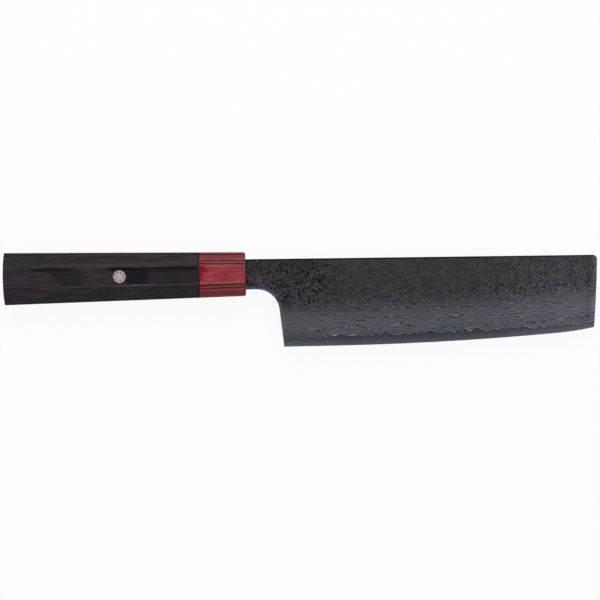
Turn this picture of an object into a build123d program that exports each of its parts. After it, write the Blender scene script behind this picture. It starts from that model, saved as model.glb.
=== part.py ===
from build123d import *

import os
from math import asin, cos, degrees, hypot, log, pi, radians, sin, sqrt, tan

# Nakiri knife: a clad steel blade whose hidden tang is bedded in an octagonal grip of
# pressed veneers, with a red veneer collar in front and one mosaic pin through the tang.
# The knife lies on its side. Millimetres and degrees.
# While it is built, X runs along the handle's axis towards the tip, from the collar's
# front face, +Y points to the spine and +Z to the side that shows. At the end everything
# moves so that the origin is under the middle of the knife, at its lowest point.

# Blade, seen from its side
blade_reach = 180.0  # collar face to the foremost point of the tip
heel_reach = 19.0  # collar face to the heel corner
heel_height = 45.0  # spine to edge at the heel
spine_rise = 7.6  # spine above the handle's axis at the collar face
spine_droop = 0.48  # degrees that the spine falls towards the tip
neck_height = 15.5
choil_rake = 6.0  # degrees that the heel's back edge leans forward
choil_radius = 11.6
belly_start_share = 0.17  # of the edge's length, where the belly's curve begins
nose_start_share = 0.884  # of the edge's length, where the last, tighter curve begins
belly_radius = 1560.0
nose_radius = 142.0
tip_rake = 2.3  # the tip's lower corner lies this far behind its foremost point
tip_bow = 0.25  # how far the tip's end swells out
tip_corner_radius = 2.3

# Blade, through its thickness
neck_thickness = 2.0  # of the blade where it leaves the collar
tip_thickness = 1.6
core_thickness = 0.5
edge_land = 0.06  # flat left at the very edge
hone_height = 0.6  # top of the honed bevel, above the edge
hone_thickness = 0.36
core_grind_height = 5.0  # a point of the wide bevel, level with the top of the bare core
core_grind_thickness = 0.86
grind_height = 21.0  # where the wide bevel would reach the collar thickness

# Wavy line where the cladding ends and the bare core shows
bare_core_heel = 3.6  # height of the line above the edge
bare_core_highest = 5.25
bare_core_tip = 3.05
highest_share = 0.4  # of the edge's length, where the line is highest
wave_height = 0.9
wave_length = 5.8
slow_wave_share = 3.9  # length of the slow swell, in wave lengths
beat_share = 7.1  # distance over which the waves grow and fade, in wave lengths
wave_samples = 8  # points on each wave
far_side_phase = 2.1  # radians that the far side's waves are shifted by

# Tang
neck_seat = 4.0  # how deep the neck sits in the collar
tang_length = 94.0  # collar face to the tang's end
tang_front_height = 11.0
tang_end_height = 9.6
tang_end_thickness = 1.6
tang_end_radius = 2.0

# Handle, an octagon that tapers towards the blade
handle_length = 124.0
collar_length = 23.3
handle_front_height = 22.4
handle_butt_height = 26.7
handle_front_thickness = 19.5
handle_butt_thickness = 23.0
corner_height_share = 0.315  # of the handle's height, taken by each corner facet
corner_slope = 0.84  # depth of a corner facet for each millimetre of its height
handle_edge_radius = 0.55
front_edge_radius = 1.05  # round the collar's front face
butt_dome_radius = 124.0

# Joinery inside the handle
tenon_diameter = 15.0  # round tenon of the grip, glued into the collar
tenon_length = 16.0
tenon_clearance = 0.1
mortise_end_gap = 0.3
neck_clearance = 0.05
bedding_gap = 0.5  # resin round the tang
tang_root_share = 0.8  # radius at the tang's root, as a share of the resin's thickness

# Pressed veneers
veneer_pitch = 1.36
dark_veneer = 0.36
veneer_tilt = 4.0  # degrees that the veneers lean against the side facets
collar_rows = 6  # dark veneers on each side of the middle one
grip_rows = 7

# Mosaic pin
pin_setback = 64.2  # collar face to the pin's axis
pin_diameter = 6.75
pin_wall = 0.6
pin_clearance = 0.1  # between the pin and the hole in the tang
ring_rods = 8
ring_rod_diameter = 0.7
ring_diameter = 4.7
ring_phase = 24.3  # degrees from the handle's axis to the first rod
centre_rod_diameter = 2.9

overrun = 1.0  # how far cutting shapes pass the faces that they cut

# Places that follow from the sizes above
tip_low_x = blade_reach - tip_rake
edge_length = tip_low_x - heel_reach
belly_start_x = heel_reach + belly_start_share * edge_length
nose_start_x = heel_reach + nose_start_share * edge_length
neck_low = neck_height - spine_rise
tang_slot_height = tang_front_height + 2 * bedding_gap
tang_slot_thickness = neck_thickness + 2 * bedding_gap
tang_slot_end = tang_length + bedding_gap
mortise_depth = tenon_length + mortise_end_gap


def spine_y(x):
    """Height of the spine at x."""
    return spine_rise - tan(radians(spine_droop)) * x


# The edge is a straight run, a long shallow arc and a tighter one, each tangent to the last
edge_low_y = spine_y(heel_reach) - heel_height
belly_turn = asin((nose_start_x - belly_start_x) / belly_radius)
nose_start_y = edge_low_y + belly_radius * (1 - cos(belly_turn))
nose_centre_x = nose_start_x - nose_radius * sin(belly_turn)
nose_centre_y = nose_start_y + nose_radius * cos(belly_turn)


def edge_y(x):
    """Height of the cutting edge at x."""
    if x < belly_start_x:
        return edge_low_y
    if x < nose_start_x:
        return edge_low_y + belly_radius - sqrt(belly_radius**2 - (x - belly_start_x) ** 2)
    return nose_centre_y - sqrt(nose_radius**2 - (x - nose_centre_x) ** 2)


def edge_path(start_x, end_x):
    """The cutting edge from start_x to end_x, as one smooth wire."""
    nose_turn = asin((end_x - nose_centre_x) / nose_radius) - belly_turn
    run = Line((start_x, edge_low_y), (belly_start_x, edge_low_y))
    belly = JernArc(run @ 1, run % 1, belly_radius, degrees(belly_turn))
    nose = JernArc(belly @ 1, belly % 1, nose_radius, degrees(nose_turn))
    return Wire([run.edge(), belly.edge(), nose.edge()])


def box_between(low, high):
    """A box from its lowest corner to its highest."""
    size = [b - a for a, b in zip(low, high)]
    middle = [(a + b) / 2 for a, b in zip(low, high)]
    return Pos(*middle) * Box(*size)


def blade_outline():
    """Side view of the blade, neck and tang, as one face."""
    choil_x = heel_reach - tan(radians(choil_rake)) * (-neck_low - edge_low_y)
    choil_corner = (choil_x, -neck_low)
    tip_top = (blade_reach, spine_y(blade_reach))
    tip_low = (tip_low_x, edge_y(tip_low_x))
    tip_middle = ((tip_top[0] + tip_low[0]) / 2 + tip_bow, (tip_top[1] + tip_low[1]) / 2)
    tang_root_top = (-neck_seat, tang_front_height / 2)
    tang_root_low = (-neck_seat, -tang_front_height / 2)
    tang_end_top = (-tang_length, tang_end_height / 2)
    tang_end_low = (-tang_length, -tang_end_height / 2)
    back = Polyline(
        (heel_reach, edge_low_y),
        choil_corner,
        (-neck_seat, -neck_low),
        tang_root_low,
        tang_end_low,
        tang_end_top,
        tang_root_top,
        (-neck_seat, spine_y(-neck_seat)),
        tip_top,
    )
    tip = ThreePointArc(tip_top, tip_middle, tip_low)
    edge = edge_path(heel_reach, tip_low_x)
    outline = Face(Wire([*back.edges(), tip.edge(), *edge.edges()]))
    for corners, radius in (
        ((choil_corner,), choil_radius),
        ((tip_top,), tip_corner_radius),
        ((tang_root_top, tang_root_low), tang_root_share * bedding_gap),
        ((tang_end_top, tang_end_low), tang_end_radius),
    ):
        picked = [outline.vertices().sort_by_distance(corner)[0] for corner in corners]
        outline = outline.fillet_2d(radius, picked)
    return outline


def thickness_wedge():
    """The blade's thickness seen from above: full at the collar, thinner at both ends."""
    reach = blade_reach + overrun
    tail = tang_length + overrun
    tip_half = (tip_thickness + (tip_thickness - neck_thickness) * overrun / blade_reach) / 2
    tang_half = (
        tang_end_thickness + (tang_end_thickness - neck_thickness) * overrun / tang_length
    ) / 2
    half = neck_thickness / 2
    plan = Polyline(
        (-tail, 0, -tang_half),
        (0, 0, -half),
        (reach, 0, -tip_half),
        (reach, 0, tip_half),
        (0, 0, half),
        (-tail, 0, tang_half),
        close=True,
    )
    return extrude(Face(Wire(plan.edges())), amount=heel_height + overrun, dir=(0, 1, 0), both=True)


def grind_cutter(side):
    """What the grinder takes off one side (+1 shows, -1 is the far side), all along the edge."""
    slope = (neck_thickness - core_grind_thickness) / 2 / (grind_height - core_grind_height)
    top = neck_thickness / 2 + overrun / 2
    section = [
        (-overrun, edge_land / 2),
        (0, edge_land / 2),
        (hone_height, hone_thickness / 2),
        (core_grind_height, core_grind_thickness / 2),
        (grind_height + (top - neck_thickness / 2) / slope, top),
        (-overrun, top),
    ]
    start_x = heel_reach - overrun
    path = edge_path(start_x, tip_low_x + overrun)
    corners = [(start_x, edge_low_y + height, side * z) for height, z in section]
    return sweep(Face(Wire(Polyline(*corners, close=True).edges())), path=path)


def bare_core_y(x, phase):
    """Height of the wavy line at x, where the cladding ends."""
    share = max((x - heel_reach) / edge_length, 0)
    leaned = share ** (log(1 / 2) / log(highest_share))
    rise = 4 * leaned * (1 - leaned)
    level = bare_core_heel + (bare_core_tip - bare_core_heel) * share
    level += (bare_core_highest - (bare_core_heel + bare_core_tip) / 2) * rise
    turn = 2 * pi * (x - heel_reach) / wave_length
    beat = (1 + sin(turn / beat_share + phase)) / 2
    quick = sin(turn + 2 * sin(turn / slow_wave_share + phase)) * (1 + beat) / 2
    slow = sin(turn / slow_wave_share + 2 * phase) / 2
    fade = (1 + rise) / 2
    return edge_y(x) + level + wave_height * fade * (quick + slow)


def cladding_zone(side, phase):
    """Everything on one side of the core and above the wavy line."""
    start_x = heel_reach - overrun
    end_x = blade_reach + overrun
    count = round((end_x - start_x) / wave_length * wave_samples)
    places = [start_x + (end_x - start_x) * i / count for i in range(count + 1)]
    wave = Spline(*[(x, bare_core_y(x, phase)) for x in places])
    back_x = -tang_length - overrun
    top_y = spine_rise + tang_front_height
    frame = Polyline(wave @ 1, (end_x, top_y), (back_x, top_y), (back_x, (wave @ 0).Y), wave @ 0)
    face = Face(Wire([wave.edge(), *frame.edges()]))
    deep = neck_thickness - core_thickness / 2
    return Pos(0, 0, side * core_thickness / 2) * extrude(face, amount=deep, dir=(0, 0, side))


def pin_hole(radius):
    """A rod along the pin's axis, longer than the handle is thick."""
    return Pos(-pin_setback, 0, 0) * Cylinder(radius, handle_butt_thickness + 2 * overrun)


def blade_parts():
    """Core and two claddings, forge-welded, with the hole for the pin through the tang."""
    deep = neck_thickness + overrun
    blank = extrude(blade_outline(), amount=deep, dir=(0, 0, 1), both=True)
    blade = blank & thickness_wedge()
    blade -= grind_cutter(1)
    blade -= grind_cutter(-1)
    blade -= pin_hole(pin_diameter / 2 + pin_clearance)
    near_zone = cladding_zone(1, 0)
    far_zone = cladding_zone(-1, far_side_phase)
    return {
        "core_steel": blade - near_zone - far_zone,
        "cladding_near_side": blade & near_zone,
        "cladding_far_side": blade & far_zone,
    }


def octagon(x):
    """Corners of the handle's cross-section at x."""
    share = -x / handle_length
    height = handle_front_height + (handle_butt_height - handle_front_height) * share
    thickness = handle_front_thickness + (handle_butt_thickness - handle_front_thickness) * share
    corner = corner_height_share * height
    y_out, y_in = height / 2, height / 2 - corner
    z_out, z_in = thickness / 2, thickness / 2 - corner_slope * corner
    return [
        (x, y_out, z_in),
        (x, y_in, z_out),
        (x, -y_in, z_out),
        (x, -y_out, z_in),
        (x, -y_out, -z_in),
        (x, -y_in, -z_out),
        (x, y_in, -z_out),
        (x, y_out, -z_in),
    ]


def flat_face(points):
    """A flat face with straight edges."""
    return Face(Wire(Polyline(*points, close=True).edges()))


def handle_form():
    """Outer form of collar and grip together: tapered, domed at the butt, edges just broken."""
    butt = octagon(-handle_length - overrun)
    front = octagon(0)
    facets = [
        flat_face([butt[i - 1], butt[i], front[i], front[i - 1]]) for i in range(len(front))
    ]
    form = Solid(Shell([flat_face(butt), flat_face(front), *facets]))
    half_diagonal = hypot(handle_butt_height, handle_butt_thickness) / 2
    dome_depth = butt_dome_radius - sqrt(butt_dome_radius**2 - half_diagonal**2)
    beyond = box_between(
        (-handle_length - 2 * overrun, -handle_butt_height, -handle_butt_height),
        (-handle_length + dome_depth, handle_butt_height, handle_butt_height),
    )
    form -= beyond - Pos(butt_dome_radius - handle_length, 0, 0) * Sphere(butt_dome_radius)
    form = fillet(form.edges() - form.edges().group_by(Axis.X)[-1], handle_edge_radius)
    return fillet(form.edges().group_by(Axis.X)[-1], front_edge_radius)


def tang_slot():
    """The pocket milled for the tang and its resin, from the neck's seat to the tang's end."""
    return box_between(
        (-tang_slot_end, -tang_slot_height / 2, -tang_slot_thickness / 2),
        (-neck_seat, tang_slot_height / 2, tang_slot_thickness / 2),
    )


def tenon(radius, length):
    """A round rod on the handle's axis that starts at the joint and points to the blade."""
    place = Pos(length / 2 - collar_length, 0, 0) * Rot(0, 90, 0)
    return place * Cylinder(radius, length)


def collar_block(form):
    """The collar before it is divided into veneers: mortise behind, neck's seat in front."""
    half = neck_thickness / 2 + neck_clearance
    front = box_between(
        (-collar_length, -handle_front_height, -handle_front_height),
        (overrun, handle_front_height, handle_front_height),
    )
    seat = box_between(
        (-neck_seat, -neck_low - neck_clearance, -half),
        (overrun, spine_y(-neck_seat) + neck_clearance, half),
    )
    mortise = tenon(tenon_diameter / 2 + tenon_clearance, mortise_depth)
    return (form & front) - mortise - seat - tang_slot()


def grip_block(form):
    """The grip before it is divided into veneers, with its tenon, tang pocket and pin hole."""
    back = box_between(
        (-handle_length - overrun, -handle_butt_height, -handle_butt_height),
        (-collar_length, handle_butt_height, handle_butt_height),
    )
    body = (form & back) + tenon(tenon_diameter / 2, tenon_length)
    return body - tang_slot() - pin_hole(pin_diameter / 2)


def veneers(block, rows):
    """Divides a block into its veneers: the coloured ones, and the dark ones between them."""
    box = block.bounding_box()
    span = hypot(box.size.Y, box.size.Z) + overrun
    sheets = [
        Rot(veneer_tilt, 0, 0)
        * Pos(box.center().X, 0, row * veneer_pitch)
        * Box(box.size.X + overrun, 2 * span, dark_veneer)
        for row in range(-rows, rows + 1)
    ]
    coloured = block - sheets
    dark = [solid for sheet in sheets for solid in (block & sheet).solids()]
    return coloured.solids(), dark


def pin_parts(form):
    """The mosaic pin: a brass tube with rods set in filler, ground flush with the handle."""
    bore = pin_hole(pin_diameter / 2 - pin_wall)
    centre_rod = pin_hole(centre_rod_diameter / 2)
    rods = []
    for i in range(ring_rods):
        angle = radians(ring_phase + 360 * i / ring_rods)
        offset = Pos(ring_diameter / 2 * cos(angle), ring_diameter / 2 * sin(angle), 0)
        rods.append(offset * pin_hole(ring_rod_diameter / 2))
    return {
        "pin_tube": form & (pin_hole(pin_diameter / 2) - bore),
        "pin_filler": form & (bore - rods - centre_rod),
        "pin_ring_rods": [form & rod for rod in rods],
        "pin_centre_rod": form & centre_rod,
    }


def gathered(shapes):
    """The solids of one shape, or of a list of shapes, in one compound."""
    shapes = shapes if isinstance(shapes, list) else [shapes]
    return Compound([solid for shape in shapes for solid in shape.solids()])


def knife():
    """Every piece of the knife, by name."""
    form = handle_form()
    blade = blade_parts()
    tang = blade["core_steel"] + blade["cladding_near_side"] + blade["cladding_far_side"]
    red, red_dark = veneers(collar_block(form), collar_rows)
    black, black_dark = veneers(grip_block(form), grip_rows)
    parts = {
        **blade,
        "tang_bedding_resin": tang_slot() - tang - pin_hole(pin_diameter / 2 + pin_clearance),
        "collar_red_veneers": red,
        "collar_dark_veneers": red_dark,
        "grip_black_veneers": black,
        "grip_charcoal_veneers": black_dark,
        **pin_parts(form),
    }
    return {name: gathered(shapes) for name, shapes in parts.items()}


os.makedirs("parts", exist_ok=True)
pieces = knife()
whole = Compound(list(pieces.values())).bounding_box()
to_origin = Pos(-(whole.min.X + whole.max.X) / 2, -(whole.min.Y + whole.max.Y) / 2, -whole.min.Z)
print("origin moved by", tuple(round(v, 3) for v in to_origin.position))
for name, piece in pieces.items():
    export_step(to_origin * piece, f"parts/{name}.step")
    print(name, len(piece.solids()), "solids")
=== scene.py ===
import logging
from dataclasses import dataclass, field
from enum import Enum
from math import cos, log, pi, radians, sin, tan
from typing import Any

import bpy
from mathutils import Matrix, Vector


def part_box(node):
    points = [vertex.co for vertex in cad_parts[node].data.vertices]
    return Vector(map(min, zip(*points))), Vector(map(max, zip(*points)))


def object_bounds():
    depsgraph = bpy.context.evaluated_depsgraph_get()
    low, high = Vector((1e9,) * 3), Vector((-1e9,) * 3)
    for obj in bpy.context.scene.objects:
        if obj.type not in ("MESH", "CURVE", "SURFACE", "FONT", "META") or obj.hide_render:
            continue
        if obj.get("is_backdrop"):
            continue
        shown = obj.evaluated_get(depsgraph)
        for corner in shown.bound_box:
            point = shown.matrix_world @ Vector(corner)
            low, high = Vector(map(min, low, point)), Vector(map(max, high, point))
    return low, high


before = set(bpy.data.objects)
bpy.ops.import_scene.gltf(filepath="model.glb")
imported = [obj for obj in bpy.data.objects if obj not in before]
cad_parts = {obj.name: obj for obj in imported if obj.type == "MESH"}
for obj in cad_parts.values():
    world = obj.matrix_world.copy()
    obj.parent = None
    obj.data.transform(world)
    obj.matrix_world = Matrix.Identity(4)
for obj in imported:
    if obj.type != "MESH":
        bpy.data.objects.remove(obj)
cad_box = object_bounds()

notes = logging.getLogger("nakiri")

# Lengths are millimetres, as a maker gives them, and turn to metres where Blender takes them.
# Finishes are drawn on the knife's own axes: X runs from the collar's front face to the tip,
# Y from the handle's axis to the spine, and Z from the middle of the blade to the side that shows.
MM = 0.001

Socket = bpy.types.NodeSocket
# How large the blobs of a pattern are along X, Y and Z
Size = tuple[float, float, float]
# A change between two places or levels: where it starts and ends, and the value before and after
Change = tuple[float, float, float, float]
# A soft line: where its middle lies, how far from there it has its full strength and how far
# it reaches, and its strength
Line = tuple[float, float, float, float]
SOFT = {"interpolation_type": "SMOOTHSTEP"}
# Nearly all of a blob pattern lies between these levels
BLOB_LEVELS = (0.3, 0.7)
# Inputs and output of a Mix node that mixes two colours
MIX_BELOW, MIX_ABOVE, MIXED = 6, 7, 2


class Side(Enum):
    """A side of the blade, with the number of radians that its waves are shifted by."""

    NEAR = 0.0
    FAR = 2.1


def linear(code: str) -> tuple[float, float, float, float]:
    """Turns a colour as it looks into the colour that a socket takes.

    Args:
        code: sRGB hex value, such as "#4a3b2c".

    Returns:
        Linear red, green and blue, and an alpha of 1.
    """
    parts = [int(code[i : i + 2], 16) / 255 for i in (1, 3, 5)]
    flat = [c / 12.92 if c <= 0.04045 else ((c + 0.055) / 1.055) ** 2.4 for c in parts]
    return (*flat, 1.0)


class Graph:
    """A node tree that is being drawn."""

    def __init__(self, tree: bpy.types.NodeTree) -> None:
        """Starts with an empty tree."""
        self.tree = tree
        tree.nodes.clear()

    def add(
        self,
        kind: str,
        *values: Any,
        out: int | str = 0,
        named: dict[int | str, Any] | None = None,
        stops: tuple[tuple[float, str], ...] = (),
        **settings: Any,
    ) -> Socket:
        """Adds a node with its settings and links.

        Args:
            kind: the node's type without "ShaderNode", or in capitals an operation of Math.
            values: what goes in at each input in turn: a socket is linked, anything else is
                set, and None leaves the input alone.
            out: the output that is wanted.
            named: more inputs, by name or number.
            stops: places on a ramp, each with its hex colour.
            settings: the node's own properties.

        Returns:
            The output socket.
        """
        if kind.isupper():
            kind, settings = "Math", {"operation": kind}
        node = self.tree.nodes.new(f"ShaderNode{kind}")
        for name, value in settings.items():
            setattr(node, name, value)
        for number, (place, code) in enumerate(stops):
            ramp = node.color_ramp.elements
            stop = ramp[number] if number < 2 else ramp.new(place)
            stop.position, stop.color = place, linear(code)
        for key, value in [*enumerate(values), *(named or {}).items()]:
            if isinstance(value, Socket):
                self.tree.links.new(value, node.inputs[key])
            elif value is not None:
                node.inputs[key].default_value = value
        return node.outputs[out] if node.outputs else None

    def blobs(
        self,
        place: Socket,
        size: Size,
        detail: float = 0.0,
        distortion: float = 0.0,
    ) -> Socket:
        """Draws a pattern of soft blobs of a real size: patches, folds, fibres or scratches.

        Args:
            place: a place in millimetres.
            size: how large the blobs are along X, Y and Z, in millimetres.
            detail: how many finer layers go on top.
            distortion: how far the blobs are twisted.

        Returns:
            Numbers round 0.5, seldom under 0.25 or over 0.75.
        """
        scaled = self.add("VectorMath", place, tuple(1 / s for s in size), operation="MULTIPLY")
        inputs = {"Scale": 1.0, "Detail": detail, "Roughness": 0.5, "Distortion": distortion}
        return self.add("TexNoise", scaled, named=inputs)

    def stripe(self, distance: Socket, inner: float, outer: float, strength: float = 1.0) -> Socket:
        """Draws a soft line.

        Args:
            distance: from the line's middle.
            inner: distance up to which it has its full strength.
            outer: distance at which it ends.
            strength: its value in the middle.

        Returns:
            The line's strength at each place.
        """
        away = self.add("ABSOLUTE", distance)
        return self.add("MapRange", away, inner, outer, strength, 0.0, **SOFT)


@dataclass(frozen=True)
class KnifeAxes:
    """The knife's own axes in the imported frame, found from the pieces that lie on them."""

    def origin(self) -> Vector:
        """Finds where the axes meet.

        Returns:
            Collar's front face, handle's axis and the middle of the blade, in millimetres.
        """
        collar_low, collar_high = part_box("collar_red_veneers")
        pin_low, pin_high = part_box("pin_tube")
        grip_low, grip_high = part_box("grip_black_veneers")
        return Vector(
            (collar_high.x, (pin_low.y + pin_high.y) / 2, (grip_low.z + grip_high.z) / 2)
        ) / MM

    def place(self, graph: Graph) -> Socket:
        """Draws a point's place on the knife's axes.

        Args:
            graph: the tree to draw in.

        Returns:
            The place, in millimetres.
        """
        metres = graph.add("TexCoord", out="Object")
        per_mm = (1 / MM,) * 3
        return graph.add("VectorMath", metres, per_mm, tuple(-self.origin()), operation="MULTIPLY_ADD")


class Finish:
    """What every finish shares: a material with one Principled shader."""

    name: str

    def draw(self, graph: Graph, place: Socket) -> dict[str, Any]:
        """Draws the finish. Returns what goes into the Principled shader's inputs, by name."""
        raise NotImplementedError

    def material(self) -> bpy.types.Material:
        """Makes the material.

        Returns:
            The material, with the finish drawn in its node tree.
        """
        material = bpy.data.materials.new(self.name)
        material.use_nodes = True
        graph = Graph(material.node_tree)
        inputs = self.draw(graph, KnifeAxes().place(graph))
        shader = graph.add("BsdfPrincipled", named=inputs)
        graph.add("OutputMaterial", shader)
        return material


@dataclass(frozen=True)
class BladeLines:
    """The lines on the blade that its finish follows. The solids have the same ones."""

    blade_reach: float = 180.0
    heel_reach: float = 19.0
    heel_height: float = 45.0
    tip_rake: float = 2.3
    neck_height: float = 15.5
    choil_rake: float = 6.0
    choil_radius: float = 11.6
    belly_start_share: float = 0.17
    nose_start_share: float = 0.884
    belly_radius: float = 1560.0
    nose_radius: float = 142.0
    spine_rise: float = 7.6
    spine_droop: float = 0.48
    grind_height: float = 21.0
    core_heel: float = 3.6
    core_highest: float = 5.25
    core_tip: float = 3.05
    highest_share: float = 0.4
    wave_height: float = 0.9
    wave_length: float = 5.8
    slow_wave_share: float = 3.9
    beat_share: float = 7.1

    @property
    def edge_length(self) -> float:
        """Length of the cutting edge."""
        return self.blade_reach - self.tip_rake - self.heel_reach

    def along_edge(self, share: float) -> float:
        """Distance from the collar of a place on the edge, given as a share of its length."""
        return self.heel_reach + share * self.edge_length

    def edge(self, graph: Graph, x: Socket) -> Socket:
        """Draws the cutting edge: straight, then two shallow curves.

        Args:
            graph: the tree to draw in.
            x: distance from the collar.

        Returns:
            Its height above the handle's axis.
        """
        add = graph.add
        belly = add("MAXIMUM", add("SUBTRACT", x, self.along_edge(self.belly_start_share)), 0.0)
        nose = add("MAXIMUM", add("SUBTRACT", x, self.along_edge(self.nose_start_share)), 0.0)
        belly_bend = 0.5 / self.belly_radius
        nose_bend = 0.5 / self.nose_radius - belly_bend
        spine = self.spine_rise - tan(radians(self.spine_droop)) * self.heel_reach
        lowest = spine - self.heel_height
        low = add("MULTIPLY_ADD", add("MULTIPLY", belly, belly), belly_bend, lowest)
        return add("MULTIPLY_ADD", add("MULTIPLY", nose, nose), nose_bend, low)

    def spine(self, graph: Graph, x: Socket) -> Socket:
        """Draws the height of the spine at x."""
        return graph.add("MULTIPLY_ADD", x, -tan(radians(self.spine_droop)), self.spine_rise)

    def to_tip(self, graph: Graph, x: Socket, y: Socket) -> Socket:
        """Draws the tip's end, which leans back towards the edge.

        Args:
            graph: the tree to draw in.
            x: distance from the collar.
            y: height above the handle's axis.

        Returns:
            The distance to it.
        """
        lean = self.tip_rake / self.heel_height
        end = graph.add("MULTIPLY_ADD", y, lean, self.blade_reach - lean * self.spine_rise)
        return graph.add("SUBTRACT", end, x)

    def from_choil(self, graph: Graph, x: Socket, y: Socket) -> Socket:
        """Draws the outline of the neck's underside, the choil and the heel's back.

        Args:
            graph: the tree to draw in.
            x: distance from the collar.
            y: height above the handle's axis.

        Returns:
            The distance to it.
        """
        add = graph.add
        rake = tan(radians(self.choil_rake))
        neck_low = self.spine_rise - self.neck_height
        centre_y = neck_low - self.choil_radius
        lowest = self.spine_rise - self.heel_height
        centre_x = self.heel_reach - rake * (centre_y - lowest) - self.choil_radius
        over = add("SUBTRACT", y, centre_y)
        along = add("SUBTRACT", x, centre_x)
        along = add("MULTIPLY_ADD", add("MINIMUM", over, 0.0), rake, along)
        along, over = add("MAXIMUM", along, 0.0), add("MAXIMUM", over, 0.0)
        away = add("SQRT", add("MULTIPLY_ADD", along, along, add("MULTIPLY", over, over)))
        return add("SUBTRACT", away, self.choil_radius)

    def wave_above_edge(self, graph: Graph, x: Socket, phase: Socket | float) -> Socket:
        """Draws the wavy line where the cladding ends.

        Args:
            graph: the tree to draw in.
            x: distance from the collar.
            phase: radians that the waves are shifted by.

        Returns:
            Its height above the edge.
        """
        add = graph.add
        along = add("SUBTRACT", x, self.heel_reach)
        share = add("MAXIMUM", add("DIVIDE", along, self.edge_length), 0.0)
        leaned = add("POWER", share, log(0.5) / log(self.highest_share))
        rise = add("MULTIPLY", add("MULTIPLY", leaned, 4.0), add("SUBTRACT", 1.0, leaned))
        level = add("MULTIPLY_ADD", share, self.core_tip - self.core_heel, self.core_heel)
        bulge = self.core_highest - (self.core_heel + self.core_tip) / 2
        level = add("MULTIPLY_ADD", rise, bulge, level)
        # Quick waves whose pitch swings, and whose height a beat halves, on slow waves half as high
        turn = add("MULTIPLY", along, 2 * pi / self.wave_length)
        slow_turn = add("DIVIDE", turn, self.slow_wave_share)
        beat = add("SINE", add("ADD", add("DIVIDE", turn, self.beat_share), phase))
        swing = add("SINE", add("ADD", slow_turn, phase))
        quick = add("SINE", add("MULTIPLY_ADD", swing, 2.0, turn))
        quick = add("MULTIPLY", quick, add("MULTIPLY_ADD", beat, 0.25, 0.75))
        slow = add("SINE", add("MULTIPLY_ADD", phase, 2.0, slow_turn))
        both = add("MULTIPLY_ADD", slow, 0.5, quick)
        fade = add("MULTIPLY_ADD", rise, 0.5, 0.5)
        return add("MULTIPLY_ADD", add("MULTIPLY", both, fade), self.wave_height, level)


@dataclass(frozen=True)
class CladdingPlace:
    """Where a point of the cladding lies, as sockets that its patterns are worked out from."""

    whole: Socket
    # Distance from the collar, and height above the handle's axis
    x: Socket
    y: Socket
    above_edge: Socket
    above_line: Socket
    below_spine: Socket
    to_tip: Socket
    from_choil: Socket
    # 1 on the flats and 0 on the bevel
    flat: Socket


@dataclass(frozen=True)
class Speckle:
    """Spots, worms and rings of the flats, where the etch has cut through level layers."""

    folds: Size = (1.5, 1.3, 1.3)
    # How many layers a fold rises through
    fold_layers: float = 2.3
    dark_spot: Change = (-0.3, -0.9, 0.0, 1.0)
    light_rim: Change = (0.3, 0.95, 0.0, 1.0)
    # What a dark spot and a light rim add to the steel's tone
    spot_tone: float = -0.095
    rim_tone: float = 0.066
    # The hammer left upright strokes near the tip, above the bevel
    strokes: Size = (0.95, 2.9, 2.9)
    strokes_by_x: Change = (146.0, 154.0, 0.0, 1.0)
    strokes_by_y: Change = (-7.0, -4.0, 0.0, 1.0)
    # The spots are strong beside the neck and the heel, faint further on and at the spine, and
    # come back towards the tip and beside the bevel
    past_heel: Change = (36.0, 54.0, 0.94, 0.33)
    by_collar: Change = (8.0, 20.0, -0.08, 0.0)
    by_tip: Change = (105.0, 140.0, 0.0, 0.22)
    by_spine: Change = (-3.0, 6.5, 1.1, 0.65)
    by_bevel: Change = (-5.0, -11.0, 1.0, 1.5)
    by_bevel_from: float = 50.0
    by_bevel_full: float = 60.0
    # Some places are busier than others
    busy_places: Size = (12.0, 7.0, 7.0)
    busy: Change = (0.35, 0.65, 0.8, 1.15)
    # Clouds of tone under the spots
    clouds: Size = (4.5, 3.5, 3.5)
    cloud_tone: Change = (*BLOB_LEVELS, -0.017, 0.017)

    def tone(self, graph: Graph, at: CladdingPlace) -> Socket:
        """Draws the spots and the clouds.

        Args:
            graph: the tree to draw in.
            at: where a point lies.

        Returns:
            What they add to the steel's tone.
        """
        add = graph.add
        folds = graph.blobs(at.whole, self.folds, detail=0.2, distortion=0.5)
        strokes = graph.blobs(at.whole, self.strokes, detail=0.4, distortion=0.4)
        upright = add("MapRange", at.x, *self.strokes_by_x, **SOFT)
        upright = add("MULTIPLY", upright, add("MapRange", at.y, *self.strokes_by_y, **SOFT))
        height = add("Mix", upright, None, folds, strokes, data_type="FLOAT")
        layers = add("SINE", add("MULTIPLY", height, 2 * pi * self.fold_layers))
        spot = add("MapRange", layers, *self.dark_spot, **SOFT)
        rim = add("MapRange", layers, *self.light_rim, **SOFT)
        strength = add("MapRange", at.x, *self.past_heel, **SOFT)
        strength = add("ADD", strength, add("MapRange", at.x, *self.by_collar, **SOFT))
        strength = add("ADD", strength, add("MapRange", at.x, *self.by_tip, **SOFT))
        busy = add("MapRange", graph.blobs(at.whole, self.busy_places), *self.busy)
        strength = add("MULTIPLY", strength, busy)
        strength = add("MULTIPLY", strength, add("MapRange", at.y, *self.by_spine, **SOFT))
        by_bevel = add("MapRange", at.y, *self.by_bevel, **SOFT)
        by_bevel = add(
            "MapRange", at.x, self.by_bevel_from, self.by_bevel_full, 1.0, by_bevel, **SOFT
        )
        strength = add("MULTIPLY", strength, by_bevel)
        marks = add("MULTIPLY_ADD", rim, self.rim_tone, add("MULTIPLY", spot, self.spot_tone))
        marks = add("MULTIPLY", marks, strength)
        clouds = graph.blobs(at.whole, self.clouds, detail=1.0)
        return add("ADD", marks, add("MapRange", clouds, *self.cloud_tone))


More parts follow.
